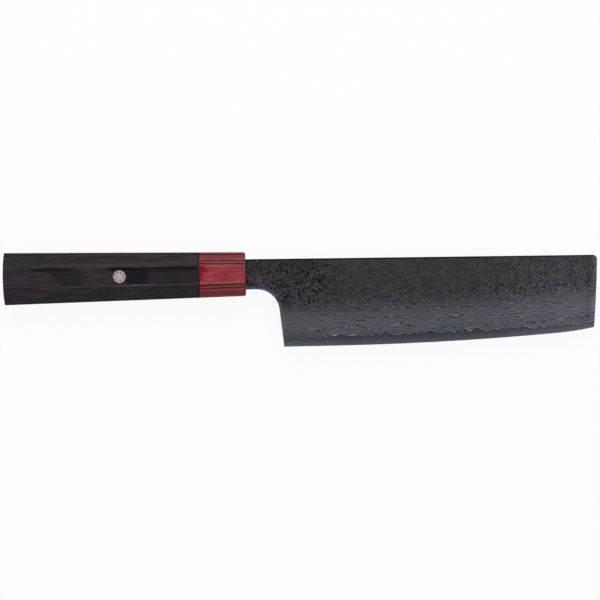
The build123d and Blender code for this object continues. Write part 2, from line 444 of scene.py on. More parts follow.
@dataclass(frozen=True)
class Contours:
    """Long wavy lines on the bevel, which cuts the layers at a slant."""

    # A line each 1.1 mm up the bevel. The real layers are 0.03 mm thick, and the bevel of
    # 2.7 degrees spreads each over 0.6 mm, which is drawn coarser to show in the picture.
    pitch: float = 1.1
    # Close to the wavy line the layers run along it
    follow: Change = (5.0, 1.0, 0.0, 1.0)
    # How softly they end at the top of the bevel
    top_softness: float = 6.0
    # Hammering pushes the layers up and down over a few millimetres, less by the wavy line
    swells: Size = (5.5, 3.4, 3.4)
    swell_layers: float = 3.1
    ripples: Size = (2.4, 1.6, 1.6)
    ripple_layers: float = 1.4
    free: Change = (0.5, 3.0, 0.25, 1.0)

    def layers(self, graph: Graph, at: CladdingPlace, lines: BladeLines) -> Socket:
        """Draws the layers that come to the surface.

        Args:
            graph: the tree to draw in.
            at: where a point lies.
            lines: the blade's lines.

        Returns:
            A number from -1 on the dark layers to 1 on the bright ones.
        """
        add = graph.add
        follow = add("MapRange", at.above_line, *self.follow, **SOFT)
        height = add("SUBTRACT", at.above_edge, lines.core_highest)
        height = add("Mix", follow, None, height, at.above_line, data_type="FLOAT")
        top = lines.grind_height - lines.core_highest
        crossed = add("SMOOTH_MIN", height, top, self.top_softness)
        layers = add("DIVIDE", crossed, self.pitch)
        free = add("MapRange", at.above_line, *self.free, **SOFT)
        swells = graph.blobs(at.whole, self.swells, detail=0.2, distortion=0.2)
        layers = add("MULTIPLY_ADD", add("MULTIPLY", swells, free), self.swell_layers, layers)
        ripples = graph.blobs(at.whole, self.ripples)
        layers = add("MULTIPLY_ADD", add("MULTIPLY", ripples, free), self.ripple_layers, layers)
        return add("SINE", add("MULTIPLY", layers, 2 * pi))


@dataclass(frozen=True)
class BevelLines:
    """What the bevel's dark and light lines look like."""

    dark: Change = (-0.3, -0.95, 0.0, -0.062)
    light: Change = (0.4, 0.95, 0.0, 0.06)
    # The lines are crisp along the wavy line and faint at the heel
    by_line: Change = (1.5, 6.5, 1.5, 0.95)
    by_heel: Change = (24.0, 44.0, 0.5, 1.0)
    busy_places: Size = (14.0, 5.0, 5.0)
    busy: Change = (0.35, 0.65, 0.75, 1.25)

    def tone(self, graph: Graph, at: CladdingPlace, layers: Socket) -> Socket:
        """Draws the lines.

        Args:
            graph: the tree to draw in.
            at: where a point lies.
            layers: -1 on the dark layers to 1 on the bright ones.

        Returns:
            What they add to the steel's tone.
        """
        add = graph.add
        dark = add("MapRange", layers, *self.dark, **SOFT)
        light = add("MapRange", layers, *self.light, **SOFT)
        crisp = add("MapRange", at.above_line, *self.by_line, **SOFT)
        crisp = add("MULTIPLY", crisp, add("MapRange", at.x, *self.by_heel, **SOFT))
        busy = add("MapRange", graph.blobs(at.whole, self.busy_places), *self.busy)
        return add("MULTIPLY", add("ADD", dark, light), add("MULTIPLY", busy, crisp))


@dataclass(frozen=True)
class Hem:
    """The cladding's light hem along the wavy line, a dark gap above it, a fainter hem and painted
    glints.
    """

    stripes: tuple[Line, ...] = (
        (0.24, 0.15, 0.4, 0.15),
        (0.85, 0.1, 0.38, -0.07),
        (1.35, 0.1, 0.34, 0.05),
    )
    by_heel: Change = (22.0, 42.0, 0.25, 1.0)
    # Painted glints: places where the hem is drawn twice as bright, as highlights
    painted_glints: tuple[Line, ...] = (
        (44.5, 0.7, 2.4, 1.0),
        (54.8, 0.7, 2.4, 1.0),
        (113.4, 0.7, 2.4, 1.0),
    )

    def tone(self, graph: Graph, at: CladdingPlace) -> Socket:
        """Draws the hem.

        Args:
            graph: the tree to draw in.
            at: where a point lies.

        Returns:
            What it adds to the steel's tone.
        """
        add = graph.add
        tone = 0.0
        for middle, *shape in self.stripes:
            tone = add("ADD", tone, graph.stripe(add("SUBTRACT", at.above_line, middle), *shape))
        shown = add("MapRange", at.x, *self.by_heel, **SOFT)
        for middle, *shape in self.painted_glints:
            shown = add("ADD", shown, graph.stripe(add("SUBTRACT", at.x, middle), *shape))
        return add("MULTIPLY", tone, shown)


@dataclass(frozen=True)
class Shade:
    """How light the steel is without its layers: a painted reflection darker at the spine; darker at
    the neck.
    """

    # Painted reflection: lighter towards the edge, whose bevel leans towards a lamp
    above_edge: Change = (27.0, 11.0, 0.202, 0.299)
    # On the flats only
    by_neck: Change = (38.0, 56.0, -0.034, -0.006)
    by_collar: Change = (6.0, 16.0, 0.01, 0.0)
    by_tip: Change = (110.0, 165.0, 0.0, 0.028)
    # A shade low on the bevel, less of it towards the tip
    low: Change = (10.0, 5.0, 0.0, -0.045)
    low_by_tip: Change = (110.0, 160.0, 1.0, 0.6)
    # A painted highlight at the tip's end, with a darker line behind it
    end: Change = (2.8, 0.8, 0.0, 1.0)
    end_tone: Change = (-12.0, 0.0, 0.03, 0.075)
    end_line: Line = (4.0, 0.3, 1.3, -0.02)
    # A light rim round the notch, less of it at the heel
    choil: Change = (0.1, 2.4, 0.13, 0.0)
    choil_by_heel: Change = (-13.0, -20.0, 1.0, 0.3)

    def tone(self, graph: Graph, at: CladdingPlace) -> Socket:
        """Draws the shade.

        Args:
            graph: the tree to draw in.
            at: where a point lies.

        Returns:
            The steel's tone, as a share of white.
        """
        add = graph.add
        level = add("MapRange", at.above_edge, *self.above_edge, **SOFT)
        by_neck = add("MapRange", at.x, *self.by_neck, **SOFT)
        by_neck = add("ADD", by_neck, add("MapRange", at.x, *self.by_collar, **SOFT))
        level = add("MULTIPLY_ADD", by_neck, at.flat, level)
        level = add("ADD", level, add("MapRange", at.x, *self.by_tip, **SOFT))
        low = add("MapRange", at.above_edge, *self.low, **SOFT)
        level = add("MULTIPLY_ADD", low, add("MapRange", at.x, *self.low_by_tip), level)
        end_tone = add("MapRange", at.y, *self.end_tone, **SOFT)
        level = add("MULTIPLY_ADD", add("MapRange", at.to_tip, *self.end, **SOFT), end_tone, level)
        middle, *shape = self.end_line
        level = add("ADD", level, graph.stripe(add("SUBTRACT", at.to_tip, middle), *shape))
        choil = add("MapRange", at.from_choil, *self.choil)
        choil_share = add("MapRange", at.y, *self.choil_by_heel, **SOFT)
        return add("MULTIPLY_ADD", choil, choil_share, level)


@dataclass(frozen=True)
class LayeredSteel(Finish):
    """Folded soft and hard stainless layers, ground through, etched and darkened.

    The etch eats the layers unevenly, so the eye gets contour lines: closed spots and worms on
    the flats, where the layers lie level, and long wavy lines on the bevel, which cuts them at
    a slant. The dark layers are also the duller ones.
    """

    name: str
    side: Side
    lines: BladeLines = field(default_factory=BladeLines)
    shade: Shade = field(default_factory=Shade)
    speckle: Speckle = field(default_factory=Speckle)
    contours: Contours = field(default_factory=Contours)
    bevel_lines: BevelLines = field(default_factory=BevelLines)
    hem: Hem = field(default_factory=Hem)
    # Where the bevel turns into the flats, as heights above the edge
    turn: Change = (16.5, 23.5, 0.0, 1.0)
    # Share of the bevel's lines that goes on into the flats
    flat_lines_share: float = 0.25
    # Painted shade: the eased spine is drawn black, as its rounded edge lies in shade
    spine: Change = (0.5, 0.9, -0.13, 0.0)
    # Some places look a little cooler
    cool_places: Size = (9.0, 6.0, 6.0)
    cool: Change = (0.45, 0.65, 0.0, 1.0)
    cool_tint: str = "#fbfaff"
    roughness: Change = (-1.0, 1.0, 0.46, 0.36)
    relief: float = 0.02

    def find(self, graph: Graph, place: Socket) -> CladdingPlace:
        """Draws where a point lies.

        Args:
            graph: the tree to draw in.
            place: place on the knife's axes.

        Returns:
            Its distances from the blade's lines.
        """
        add = graph.add
        apart = add("SeparateXYZ", place).node
        x, y = apart.outputs[0], apart.outputs[1]
        above_edge = add("SUBTRACT", y, self.lines.edge(graph, x))
        wave = self.lines.wave_above_edge(graph, x, self.side.value)
        return CladdingPlace(
            whole=place,
            x=x,
            y=y,
            above_edge=above_edge,
            above_line=add("SUBTRACT", above_edge, wave),
            below_spine=add("SUBTRACT", self.lines.spine(graph, x), y),
            to_tip=self.lines.to_tip(graph, x, y),
            from_choil=self.lines.from_choil(graph, x, y),
            flat=add("MapRange", above_edge, *self.turn, **SOFT),
        )

    def draw(self, graph: Graph, place: Socket) -> dict[str, Any]:
        """Draws the layered steel.

        Args:
            graph: the tree to draw in.
            place: place on the knife's axes.

        Returns:
            What goes into the Principled shader's inputs, by their names.
        """
        add = graph.add
        at = self.find(graph, place)
        layers = self.contours.layers(graph, at, self.lines)
        lined = self.bevel_lines.tone(graph, at, layers)
        speckled = add("MULTIPLY_ADD", lined, self.flat_lines_share, self.speckle.tone(graph, at))
        pattern = add("Mix", at.flat, None, lined, speckled, data_type="FLOAT")
        tone = add("ADD", self.shade.tone(graph, at), pattern)
        tone = add("ADD", tone, self.hem.tone(graph, at))
        # Painted shade along the spine
        tone = add("ADD", tone, add("MapRange", at.below_spine, *self.spine, **SOFT))
        colour = add(
            "ValToRGB",
            tone,
            stops=((0.0, "#000000"), (1.0, "#ffffff"), (0.1, "#1a191b"), (0.22, "#39373b"),
                   (0.32, "#525157"), (0.5, "#7f7f8a")),
        )
        cool = add("MapRange", graph.blobs(place, self.cool_places), *self.cool)
        colour = add(
            "Mix", cool, named={MIX_BELOW: colour, MIX_ABOVE: linear(self.cool_tint)}, out=MIXED,
            data_type="RGBA", blend_type="MULTIPLY",
        )
        rough = add("MapRange", layers, *self.roughness)
        normal = add("Bump", named={"Height": layers, "Distance": self.relief * MM, "Strength": 1.0})
        return {"Base Color": colour, "Metallic": 1.0, "Roughness": rough, "Normal": normal}


@dataclass(frozen=True)
class CoreSteel(Finish):
    """Hardened core steel, ground and honed: smooth, bluish, a little lighter at the edge."""

    name: str = "core_steel_ground_and_honed"
    above_edge: Change = (4.6, 0.3, 0.225, 0.315)
    by_heel: Change = (20.0, 60.0, 0.03, 0.0)
    by_tip: Change = (110.0, 175.0, 0.0, 0.045)
    # A darker strip along the cladding
    by_line: Change = (0.3, 1.3, -0.03, 0.0)
    # A honing stone's grit of 0.015 mm leaves scratches 0.004 mm deep. They are drawn 0.5 mm
    # apart, so that they show
    scratches: Size = (0.5, 6.0, 6.0)
    scratch_depth: float = 0.004
    scratch_tone: Change = (*BLOB_LEVELS, -0.012, 0.012)
    roughness: Change = (*BLOB_LEVELS, 0.30, 0.40)
    lines: BladeLines = field(default_factory=BladeLines)

    def draw(self, graph: Graph, place: Socket) -> dict[str, Any]:
        """Draws the core steel, with the fine scratches that the stone leaves across the edge.

        Args:
            graph: the tree to draw in.
            place: place on the knife's axes.

        Returns:
            What goes into the Principled shader's inputs, by their names.
        """
        add = graph.add
        apart = add("SeparateXYZ", place).node
        x, y, z = apart.outputs
        above_edge = add("SUBTRACT", y, self.lines.edge(graph, x))
        # The same lines show on both sides of this one piece, each with its own waves
        phase = add("MULTIPLY", add("LESS_THAN", z, 0.0), Side.FAR.value)
        below_line = add("SUBTRACT", self.lines.wave_above_edge(graph, x, phase), above_edge)
        level = add("MapRange", above_edge, *self.above_edge)
        level = add("ADD", level, add("MapRange", x, *self.by_heel, **SOFT))
        level = add("ADD", level, add("MapRange", x, *self.by_tip, **SOFT))
        level = add("ADD", level, add("MapRange", below_line, *self.by_line, **SOFT))
        scratch = graph.blobs(place, self.scratches, detail=2.0)
        tone = add("ADD", level, add("MapRange", scratch, *self.scratch_tone))
        colour = add(
            "ValToRGB",
            tone,
            stops=((0.0, "#000000"), (1.0, "#ffffff"), (0.12, "#1c1d20"), (0.26, "#3f4047"),
                   (0.34, "#54555d"), (0.5, "#7e8089")),
        )
        rough = add("MapRange", scratch, *self.roughness)
        depth = self.scratch_depth * MM
        normal = add("Bump", named={"Height": scratch, "Distance": depth, "Strength": 1.0})
        return {"Base Color": colour, "Metallic": 1.0, "Roughness": rough, "Normal": normal}


@dataclass(frozen=True)
class HandleLines:
    """The handle's octagon, joint and pin. The solids have the same ones."""

    length: float = 124.0
    front_height: float = 22.4
    butt_height: float = 26.7
    front_thickness: float = 19.5
    butt_thickness: float = 23.0
    corner_height_share: float = 0.315
    veneer_tilt: float = 4.0
    pin_setback: float = 64.2
    pin_diameter: float = 6.75

    def facet_half(self, graph: Graph, x: Socket) -> Socket:
        """Draws the middle facet, which grows towards the butt.

        Args:
            graph: the tree to draw in.
            x: distance from the collar.

        Returns:
            Half its height.
        """
        share = 0.5 - self.corner_height_share
        growth = (self.butt_height - self.front_height) / self.length
        return graph.add("MULTIPLY_ADD", x, -growth * share, self.front_height * share)

    def from_pin(self, graph: Graph, x: Socket, y: Socket) -> Socket:
        """Draws the pin's rim.

        Args:
            graph: the tree to draw in.
            x: distance from the collar.
            y: height above the handle's axis.

        Returns:
            The distance to it: below 0 on the pin.
        """
        add = graph.add
        along = add("ADD", x, self.pin_setback)
        away = add("SQRT", add("MULTIPLY_ADD", along, along, add("MULTIPLY", y, y)))
        return add("SUBTRACT", away, self.pin_diameter / 2)

    def below_side(self, graph: Graph, x: Socket, z: Socket) -> Socket:
        """Draws how deep a point lies.

        Args:
            graph: the tree to draw in.
            x: distance from the collar.
            z: distance from the blade's middle, above 0 on the side that shows.

        Returns:
            The distance in from the level of the middle facet on its side.
        """
        growth = (self.butt_thickness - self.front_thickness) / self.length
        side = graph.add("MULTIPLY_ADD", x, -growth / 2, self.front_thickness / 2)
        return graph.add("SUBTRACT", side, graph.add("ABSOLUTE", z))


@dataclass(frozen=True)
class Mark:
    """A mark drawn in one place on the wood, such as a stain or a painted highlight on an arris."""

    colour: str
    strength: float

    def mask(self, graph: Graph, x: Socket, y: Socket, z: Socket) -> Socket:
        """Draws where the mark lies. Returns 1 in it and 0 outside it."""
        raise NotImplementedError


@dataclass(frozen=True)
class LaidBare(Mark):
    """A veneer that the sanding has laid bare: a wedge under the facet's upper arris, which
    widens over the whole facet and ends in a soft curve."""

    start: float
    full: float
    end: float
    # Above 1, it stays narrow at first and then widens faster
    bend: float = 1.4
    softness: float = 0.65
    # Share of the facet's height that it takes up at its widest
    widest_share: float = 0.95
    # How far its end is bowed at a height of 1 mm
    bow: float = 0.06
    # How far before and after its end it fades
    fade_before: float = 3.0
    fade_after: float = 2.2
    lines: HandleLines = field(default_factory=HandleLines)

    def mask(self, graph: Graph, x: Socket, y: Socket, z: Socket) -> Socket:
        """Draws the wedge on the side that shows.

        Args:
            graph: the tree to draw in.
            x: distance from the collar.
            y: height above the handle's axis.
            z: distance from the blade's middle, above 0 on the side that shows.

        Returns:
            1 in the wedge and 0 outside it.
        """
        add = graph.add
        half = self.lines.facet_half(graph, x)
        widened = add("POWER", add("MapRange", x, self.start, self.full, 0.0, 1.0), self.bend)
        widest = add("MULTIPLY", half, 2 * self.widest_share)
        low = add("SUBTRACT", half, add("MULTIPLY", widened, widest))
        over = add("SUBTRACT", y, low)
        inside = add("MapRange", over, -self.softness, self.softness, 0.0, 1.0, **SOFT)
        bowed = add("MULTIPLY_ADD", add("MULTIPLY", y, y), self.bow, x)
        fade = (self.end - self.fade_before, self.end + self.fade_after)
        ended = add("MapRange", bowed, *fade, 1.0, 0.0, **SOFT)
        begun = add("GREATER_THAN", x, self.start)
        facet = add("MULTIPLY", add("LESS_THAN", add("ABSOLUTE", y), half), add("GREATER_THAN", z, 0.0))
        return add("MULTIPLY", add("MULTIPLY", inside, ended), add("MULTIPLY", begun, facet))


@dataclass(frozen=True)
class Arris(Mark):
    """A line along one arris of the middle facets; the light ones are painted highlights."""

    # How far up the facet the line lies: 1 at the upper arris and -1 at the lower one
    above: float
    width: float
    start: float
    end: float
    # Distances from its middle, as shares of its width, where it starts to fade and where it ends
    full_share: float = 0.3
    end_share: float = 0.7
    # Length over which it fades at both ends
    fade: float = 6.0
    # How far in from the middle facet it still lies on the handle's facets, not on a cut face
    depth: float = 1.0
    lines: HandleLines = field(default_factory=HandleLines)

    def mask(self, graph: Graph, x: Socket, y: Socket, z: Socket) -> Socket:
        """Draws the line, on both sides.

        Args:
            graph: the tree to draw in.
            x: distance from the collar.
            y: height above the handle's axis.
            z: distance from the blade's middle, above 0 on the side that shows.

        Returns:
            1 on the line and 0 beside it.
        """
        add = graph.add
        middle = add("MULTIPLY", self.lines.facet_half(graph, x), self.above)
        shape = (self.width * self.full_share, self.width * self.end_share)
        line = graph.stripe(add("SUBTRACT", y, middle), *shape)
        drawn = add("MapRange", x, self.start, self.start + self.fade, 0.0, 1.0, **SOFT)
        ended = add("MapRange", x, self.end - self.fade, self.end, 1.0, 0.0, **SOFT)
        beside = add("LESS_THAN", self.lines.below_side(graph, x, z), self.depth)
        return add("MULTIPLY", add("MULTIPLY", line, beside), add("MULTIPLY", drawn, ended))


@dataclass(frozen=True)
class Band(Mark):
    """A band along the handle, between two heights above its axis."""

    low: float
    high: float
    softness: float = 0.4

    def mask(self, graph: Graph, x: Socket, y: Socket, z: Socket) -> Socket:
        """Draws the band, on both sides.

        Args:
            graph: the tree to draw in.
            x: distance from the collar.
            y: height above the handle's axis.
            z: distance from the blade's middle, above 0 on the side that shows.

        Returns:
            1 in the band and 0 outside it.
        """
        middle, half = (self.low + self.high) / 2, (self.high - self.low) / 2
        away = graph.add("SUBTRACT", y, middle)
        return graph.stripe(away, half - self.softness / 2, half + self.softness / 2)


@dataclass(frozen=True)
class Stain(Mark):
    """A stain with a soft edge, on the side that shows."""

    centre: tuple[float, float]
    reach: tuple[float, float]
    # How it fades, in shares of its reach
    fade: Change = (0.65, 1.1, 1.0, 0.0)

    def mask(self, graph: Graph, x: Socket, y: Socket, z: Socket) -> Socket:
        """Draws the stain.

        Args:
            graph: the tree to draw in.
            x: distance from the collar.
            y: height above the handle's axis.
            z: distance from the blade's middle, above 0 on the side that shows.

        Returns:
            1 in the stain and 0 outside it.
        """
        add = graph.add
        along = add("DIVIDE", add("SUBTRACT", x, self.centre[0]), self.reach[0])
        across = add("DIVIDE", add("SUBTRACT", y, self.centre[1]), self.reach[1])
        away = add("SQRT", add("MULTIPLY_ADD", along, along, add("MULTIPLY", across, across)))
        inside = add("MapRange", away, *self.fade, **SOFT)
        return add("MULTIPLY", inside, add("GREATER_THAN", z, 0.0))


@dataclass(frozen=True)
class GlueRing(Mark):
    """The dark ring of glue round the pin."""

    fade: Change = (0.15, 0.6, 1.0, 0.0)
    lines: HandleLines = field(default_factory=HandleLines)

    def mask(self, graph: Graph, x: Socket, y: Socket, z: Socket) -> Socket:
        """Draws the ring."""
        return graph.add("MapRange", self.lines.from_pin(graph, x, y), *self.fade)


@dataclass(frozen=True)
class VeneerEdge(Mark):
    """Dye that a dark veneer has left in the wood along its edge, on one corner facet."""

    # Distance from the blade's middle, square to the tilted veneers
    row: float
    thickness: float
    # 1 on the facet above the middle one, and -1 below it
    above: float
    # Distances from its middle, as shares of its thickness, where it starts to fade and ends
    full_share: float = 0.4
    end_share: float = 0.7
    lines: HandleLines = field(default_factory=HandleLines)

    def mask(self, graph: Graph, x: Socket, y: Socket, z: Socket) -> Socket:
        """Draws the veneer's edge, on both sides.

        Args:
            graph: the tree to draw in.
            x: distance from the collar.
            y: height above the handle's axis.
            z: distance from the blade's middle, above 0 on the side that shows.

        Returns:
            1 on the edge and 0 beside it.
        """
        add = graph.add
        tilt = radians(self.lines.veneer_tilt)
        level = add("MULTIPLY_ADD", y, -sin(tilt), add("MULTIPLY", z, cos(tilt)))
        shape = (self.thickness * self.full_share, self.thickness * self.end_share)
        line = graph.stripe(add("SUBTRACT", level, self.row), *shape)
        outward = add("MULTIPLY", y, self.above)
        return add("MULTIPLY", line, add("GREATER_THAN", outward, self.lines.facet_half(graph, x)))


@dataclass(frozen=True)
class CutEnd(Mark):
    """End grain beside a face that is cut across, at some distance from the collar's front."""

    face: float
    width: float
    # Share of its width where it starts to fade
    full_share: float = 0.6

    def mask(self, graph: Graph, x: Socket, y: Socket, z: Socket) -> Socket:
        """Draws the end grain."""
        away = graph.add("SUBTRACT", x, self.face)
        return graph.stripe(away, self.width * self.full_share, self.width)


@dataclass(frozen=True)
class PressedVeneer(Finish):
    """Beech veneer soaked with dyed resin, pressed, sanded and buffed.

    The resin fills the wood, so the eye gets fibre streaks along the handle under an even,
    half-matt skin, and short dark pores.
    """

    name: str
    dark: str
    middle: str
    light: str
    streaks: float
    gloss: float = 0.05
    roughness: float = 0.42
    # Dark fibres are this much rougher, and light ones as much smoother
    roughness_swing: float = 0.05
    # Beech fibres are 0.02 mm wide, and come here in bundles of 0.4 mm so that they show
    fibres: Size = (11.0, 0.42, 0.42)
    fibre_weight: float = 1.35
    # Growth bands
    band: Size = (30.0, 1.3, 1.3)
    band_weight: float = 0.65
    curl: float = 0.3
    # Beech pores are 0.08 mm wide, drawn at 0.3 mm so that they show
    pores: Size = (2.2, 0.3, 0.3)
    pore: Change = (0.66, 0.74, 0.0, 1.0)
    pore_tone: float = -0.12
    # Contrast on the middle facets, as a share of that on the corner ones
    calm: float = 1.0
    # How deep the fibres and pores stand open after buffing
    grain_depth: float = 0.02
    marks: tuple[Mark, ...] = ()
    lines: HandleLines = field(default_factory=HandleLines)

    def draw(self, graph: Graph, place: Socket) -> dict[str, Any]:
        """Draws the veneer.

        Args:
            graph: the tree to draw in.
            place: place on the knife's axes.

        Returns:
            What goes into the Principled shader's inputs, by their names.
        """
        add = graph.add
        fibre = graph.blobs(place, self.fibres, detail=2.0)
        band = graph.blobs(place, self.band, detail=2.0, distortion=self.curl)
        pore = add("MapRange", graph.blobs(place, self.pores), *self.pore)
        apart = add("SeparateXYZ", place).node
        half = self.lines.facet_half(graph, apart.outputs[0])
        middle = add("LESS_THAN", add("ABSOLUTE", apart.outputs[1]), half)
        figure = add("MULTIPLY", add("SUBTRACT", fibre, 0.5), self.streaks * self.fibre_weight)
        band_streaks = self.streaks * self.band_weight
        figure = add("MULTIPLY_ADD", add("SUBTRACT", band, 0.5), band_streaks, figure)
        contrast = add("MapRange", middle, 0.0, 1.0, 1.0, self.calm)
        tone = add("MULTIPLY_ADD", figure, contrast, 0.5)
        tone = add("MULTIPLY_ADD", pore, self.pore_tone, tone)
        colour = add("ValToRGB", tone, stops=((0.0, self.dark), (1.0, self.light), (0.5, self.middle)))
        for mark in self.marks:
            share = add("MULTIPLY", mark.mask(graph, *apart.outputs), mark.strength)
            colour = add(
                "Mix", share, named={MIX_BELOW: colour, MIX_ABOVE: linear(mark.colour)}, out=MIXED,
                data_type="RGBA",
            )
        swing = (self.roughness + self.roughness_swing, self.roughness - self.roughness_swing)
        rough = add("MapRange", fibre, *BLOB_LEVELS, *swing)
        height = add("MULTIPLY_ADD", pore, -1.0, fibre)
        depth = self.grain_depth * MM
        normal = add("Bump", named={"Height": height, "Distance": depth, "Strength": 1.0})
        return {
            "Base Color": colour,
            "Roughness": rough,
            "Normal": normal,
            "Specular IOR Level": self.gloss,
        }


@dataclass(frozen=True)
class PinMetal(Finish):
    """Drawn rod or tube, cut and sanded flush with the handle: fine scratches, some tarnish."""

    name: str
    clean: str
    tarnished: str
    metallic: float
    roughness: float
    # How much of the tarnish sits on the side towards the butt, where the hand rubs less
    lean: float = 0.0
    # How much rougher it is in the scratches, and how much smoother between them
    rougher: float = 0.08
    smoother: float = 0.04
    # Sanding grit of 0.03 mm, with its scratches drawn 0.12 mm wide so that they show
    scratches: Size = (0.8, 0.12, 0.12)
    scratch_depth: float = 0.006
    patches: Size = (0.9, 0.9, 0.9)
    # Levels of scratches and patches where the metal is fully tarnished and fully clean
    tarnished_level: float = 0.36
    clean_level: float = 0.62
    # Glue has crept over the last 0.4 mm of its rim
    glue: Change = (-0.42, -0.1, 0.0, 0.85)
    glue_colour: str = "#2a2118"
    lines: HandleLines = field(default_factory=HandleLines)

    def draw(self, graph: Graph, place: Socket) -> dict[str, Any]:
        """Draws the metal.

        Args:
            graph: the tree to draw in.
            place: place on the knife's axes.

        Returns:
            What goes into the Principled shader's inputs, by their names.
        """
        add = graph.add
        scratch = graph.blobs(place, self.scratches, detail=2.0)
        patch = graph.blobs(place, self.patches, detail=3.0)
        apart = add("SeparateXYZ", place).node
        x, y = apart.outputs[0], apart.outputs[1]
        radius = self.lines.pin_diameter / 2
        front = add("DIVIDE", add("ADD", x, self.lines.pin_setback), radius)
        tone = add("MULTIPLY_ADD", scratch, 0.5, add("MULTIPLY", patch, 0.5))
        tone = add("MULTIPLY_ADD", front, self.lean, tone)
        stops = ((self.tarnished_level, self.tarnished), (self.clean_level, self.clean))
        colour = add("ValToRGB", tone, stops=stops)
        glued = add("MapRange", self.lines.from_pin(graph, x, y), *self.glue)
        colour = add(
            "Mix", glued, named={MIX_BELOW: colour, MIX_ABOVE: linear(self.glue_colour)}, out=MIXED,
            data_type="RGBA",
        )
        swing = (self.roughness + self.rougher, self.roughness - self.smoother)
        rough = add("MapRange", scratch, *BLOB_LEVELS, *swing)
        depth = self.scratch_depth * MM
        normal = add("Bump", named={"Height": scratch, "Distance": depth, "Strength": 1.0})
        return {
            "Base Color": colour,
            "Metallic": self.metallic,
            "Roughness": rough,
            "Normal": normal,
        }


def dress(node: str, finish: Finish) -> None:
    """Gives a CAD node its finish.

    Args:
        node: the node's name.
        finish: what its surface is made of.
    """
    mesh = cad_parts[node].data
    mesh.materials.clear()
    mesh.materials.append(finish.material())
    notes.info("%s: %s", node, finish.name)


@dataclass(frozen=True)
class Blade:
    """Core sheet with a cladding on each side."""

    lines: BladeLines = field(default_factory=BladeLines)

    def build(self) -> None:
        """Dresses the three pieces of steel."""
        dress("core_steel", CoreSteel(lines=self.lines))
        dress("cladding_near_side", LayeredSteel("layered_steel_near_side", Side.NEAR, self.lines))
        dress("cladding_far_side", LayeredSteel("layered_steel_far_side", Side.FAR, self.lines))


